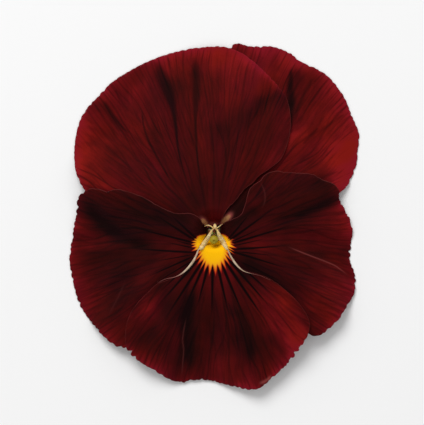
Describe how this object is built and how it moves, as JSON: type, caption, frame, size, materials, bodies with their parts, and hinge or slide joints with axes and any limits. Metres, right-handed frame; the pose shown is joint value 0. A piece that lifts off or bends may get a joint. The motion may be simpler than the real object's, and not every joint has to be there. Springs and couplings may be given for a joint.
{
  "type": "pansy bloom",
  "caption": "Picked pansy bloom lying face up, with overlapping velvety petals, a bearded yellow throat, a spur, a calyx and a cut stem stub",
  "frame": {"origin": "centre of the bloom's outline seen from above, at the surface that it lies on", "axes": "+X to the right side petal, +Y to the upper petals, +Z out of the bloom's face"},
  "size_m": [0.0634, 0.0753, 0.0099],
  "materials": {
    "upper_petal_red": "velvety dark red petal",
    "lateral_petal_maroon": "velvety near-black maroon petal",
    "lower_petal_red": "velvety dark red petal with a yellow patch at its claw",
    "calyx_green": "soft green plant tissue",
    "pistil_green": "moist yellow-green plant tissue",
    "anther_cream": "papery cream plant tissue"
  },
  "bodies": {
    "root": {"upper_right_petal": "upper_petal_red", "upper_left_petal": "upper_petal_red", "left_lateral_petal": "lateral_petal_maroon", "right_lateral_petal": "lateral_petal_maroon", "lower_petal": "lower_petal_red", "receptacle_and_stem": "calyx_green", "sepal_top": "calyx_green", "sepal_upper_left": "calyx_green", "sepal_lower_left": "calyx_green", "sepal_lower_right": "calyx_green", "sepal_upper_right": "calyx_green", "pistil": "pistil_green", "stamen_top": "anther_cream", "stamen_upper_left": "anther_cream", "stamen_lower_left": "anther_cream", "stamen_lower_right": "anther_cream", "stamen_upper_right": "anther_cream"}
  },
  "joints": []
}
